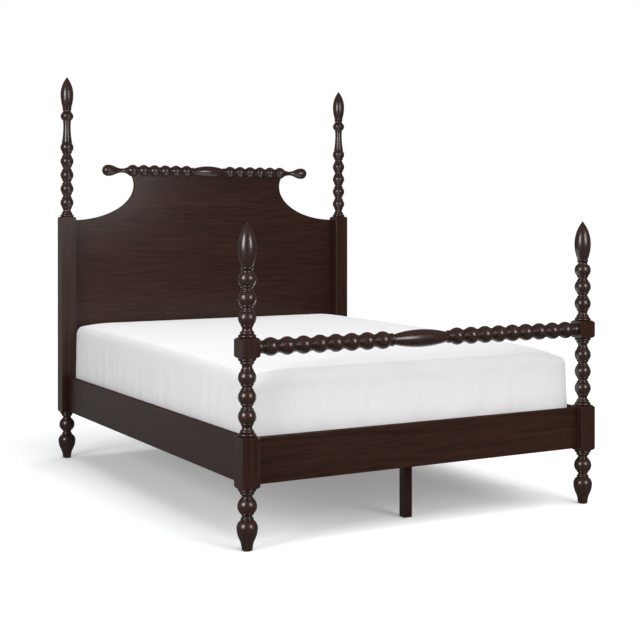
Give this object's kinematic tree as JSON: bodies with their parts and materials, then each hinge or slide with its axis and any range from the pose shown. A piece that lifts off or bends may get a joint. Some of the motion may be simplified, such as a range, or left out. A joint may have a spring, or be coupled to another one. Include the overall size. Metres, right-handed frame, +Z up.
{
  "type": "spindle bed",
  "caption": "Low-poster bed in dark wood with turned posts, finials, a turned footboard rail, a scooped headboard panel under a turned crest rail, slats and a sheeted mattress.",
  "frame": {"origin": "on the floor, in the middle of the bed's footprint", "axes": "+X to the right seen from the foot end, +Y from the footboard to the headboard, +Z up"},
  "size_m": [1.679, 2.1749, 1.9305],
  "materials": {
    "dark_wood": "espresso stain under satin lacquer",
    "slat_wood": "planed, unfinished",
    "plated_steel": "zinc plated",
    "glide_plastic": "moulded, matt",
    "mattress_ticking": "woven ticking",
    "sheet_cotton": "plain woven white cotton"
  },
  "bodies": {
    "frame": {"beam_hanger_foot": "plated_steel", "beam_hanger_head": "plated_steel", "centre_beam": "slat_wood", "centre_leg_foot": "dark_wood", "centre_leg_head": "dark_wood", "centre_leg_middle": "dark_wood", "crest_dowels": "slat_wood", "crest_rail": "dark_wood", "finial_dowels": "slat_wood", "footboard_bottom_rail": "dark_wood", "footboard_finial_left": "dark_wood", "footboard_finial_right": "dark_wood", "footboard_post_left": "dark_wood", "footboard_post_right": "dark_wood", "footboard_spindle_rail": "dark_wood", "hanger_screws": "plated_steel", "headboard_bottom_rail": "dark_wood", "headboard_finial_left": "dark_wood", "headboard_finial_right": "dark_wood", "headboard_panel": "dark_wood", "headboard_post_left": "dark_wood", "headboard_post_right": "dark_wood", "headboard_post_top_left": "dark_wood", "headboard_post_top_right": "dark_wood", "hook_plate_screws": "plated_steel", "ledger_left": "slat_wood", "ledger_right": "slat_wood", "ledger_screws": "plated_steel", "leg_bolts": "plated_steel", "leveller_inserts": "plated_steel", "post_glides": "glide_plastic", "post_hook_plates": "plated_steel", "post_top_dowels": "slat_wood", "rail_hooks": "plated_steel", "side_rail_left": "dark_wood", "side_rail_right": "dark_wood", "slat_01": "slat_wood", "slat_02": "slat_wood", "slat_03": "slat_wood", "slat_04": "slat_wood", "slat_05": "slat_wood", "slat_06": "slat_wood", "slat_07": "slat_wood", "slat_08": "slat_wood", "slat_09": "slat_wood", "slat_10": "slat_wood", "slat_11": "slat_wood", "slat_12": "slat_wood", "slat_13": "slat_wood", "slat_screws": "plated_steel"},
    "mattress": {"mattress": "mattress_ticking", "fitted_sheet": "sheet_cotton"},
    "leveller_foot": {"leveller_foot": "glide_plastic"},
    "leveller_middle": {"leveller_middle": "glide_plastic"},
    "leveller_head": {"leveller_head": "glide_plastic"}
  },
  "joints": [
    {"name": "mattress_lift", "type": "slide", "parent": "frame", "child": "mattress", "axis": [0, 0, 1], "range_m": [0, 0.6]},
    {"name": "leveller_foot_wind", "type": "slide", "parent": "frame", "child": "leveller_foot", "axis": [0, 0, -1], "range_m": [0, 0.015]},
    {"name": "leveller_middle_wind", "type": "slide", "parent": "frame", "child": "leveller_middle", "axis": [0, 0, -1], "range_m": [0, 0.015]},
    {"name": "leveller_head_wind", "type": "slide", "parent": "frame", "child": "leveller_head", "axis": [0, 0, -1], "range_m": [0, 0.015]}
  ]
}
